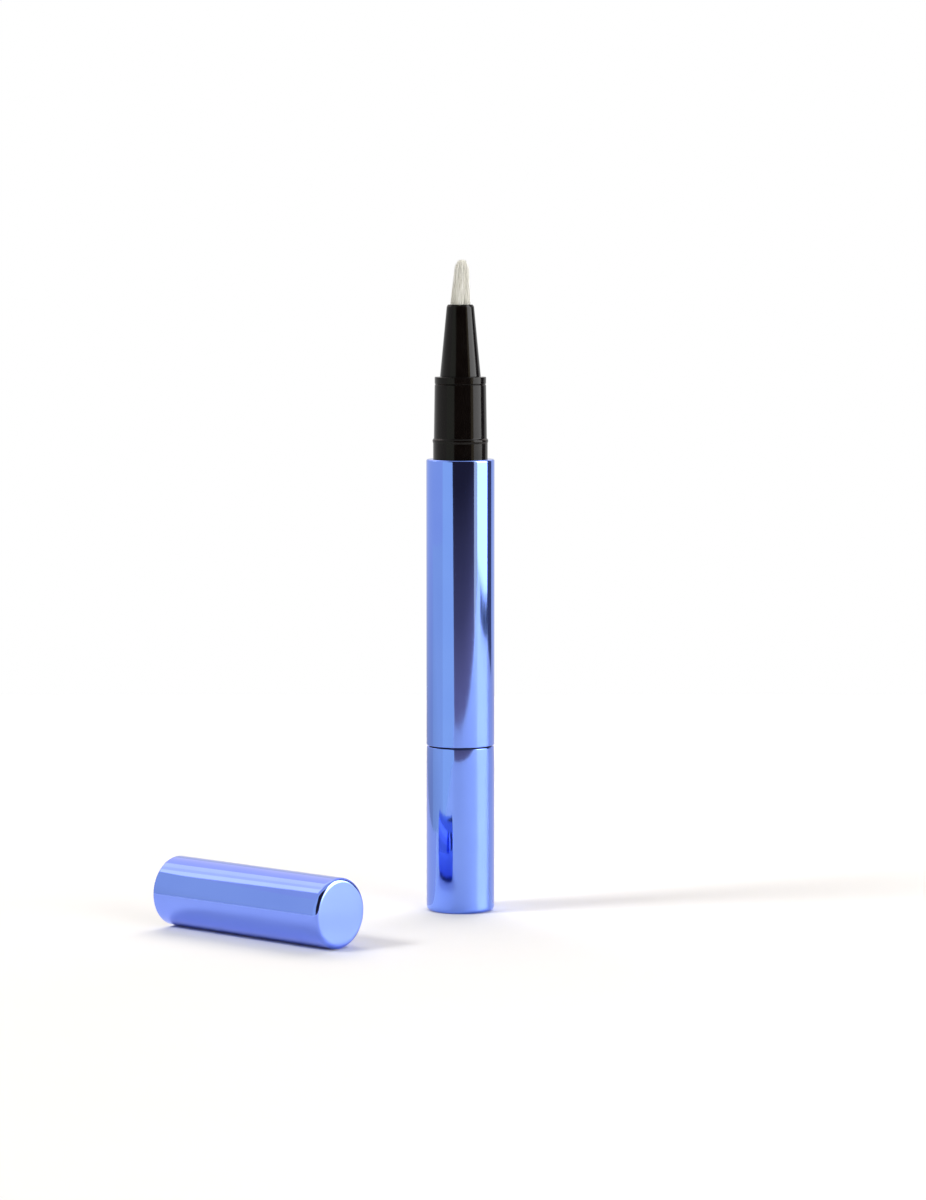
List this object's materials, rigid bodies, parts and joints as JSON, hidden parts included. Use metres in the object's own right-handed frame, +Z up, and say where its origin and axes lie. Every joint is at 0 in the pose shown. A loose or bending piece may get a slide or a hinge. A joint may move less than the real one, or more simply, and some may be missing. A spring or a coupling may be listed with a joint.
{
  "type": "brush-tip serum pen",
  "caption": "Slim twist-up serum pen: turning its metal base drives a screw and piston that feed serum up through a black nozzle into a brush, with a push-on metal cap beside it.",
  "frame": {"origin": "centre of the twist base's flat foot, on the surface that the pen stands on", "axes": "+Z up along the pen's axis towards the brush, +X along the lying cap from its open end to its closed end"},
  "size_m": [0.04, 0.0588, 0.1197],
  "materials": {
    "blue_metal": "mirror-gloss blue anodised",
    "black_plastic": "glossy black moulding",
    "black_liner": "satin black moulding",
    "clear_plastic": "clear moulding",
    "white_plastic": "satin natural moulding",
    "grey_plastic": "satin grey moulding",
    "seal_rubber": "matt black rubber",
    "steel": "bright spring steel",
    "bristle_nylon": "translucent ivory filaments"
  },
  "bodies": {
    "barrel": {"barrel_shell": "blue_metal", "reservoir_tube": "clear_plastic", "neck_collar": "black_plastic", "neck_o_ring": "seal_rubber", "nozzle": "black_plastic", "brush_ferrule": "white_plastic", "feed_tube": "steel", "brush_bristles": "bristle_nylon", "turn_bush": "black_liner", "feed_nut": "grey_plastic"},
    "knob": {"knob_shell": "blue_metal", "knob_core": "black_liner", "ratchet_crown": "grey_plastic", "ratchet_spring": "steel", "snap_ring": "steel"},
    "spindle": {"spindle": "white_plastic"},
    "piston": {"piston": "white_plastic"},
    "cap": {"cap_shell": "blue_metal", "cap_liner": "black_liner", "cap_gasket": "seal_rubber"}
  },
  "joints": [
    {"name": "knob_turn", "type": "hinge", "parent": "barrel", "child": "knob", "pos_m": [0, 0, 0.03], "axis": [0, 0, 1], "range_deg": [0, 5310.5]},
    {"name": "spindle_lift", "type": "slide", "parent": "knob", "child": "spindle", "axis": [0, 0, 1], "range_m": [0, 0.0295]},
    {"name": "piston_lift", "type": "slide", "parent": "barrel", "child": "piston", "axis": [0, 0, 1], "range_m": [0, 0.0296]},
    {"name": "cap_lift", "type": "slide", "parent": "barrel", "child": "cap", "axis": [0, 0, 1], "range_m": [0, 0.12]}
  ],
  "couplings": [
    {"joint": "knob_turn", "follows": "spindle_lift", "rad_per_m": 3141.6},
    {"joint": "piston_lift", "follows": "spindle_lift", "ratio": 1}
  ]
}
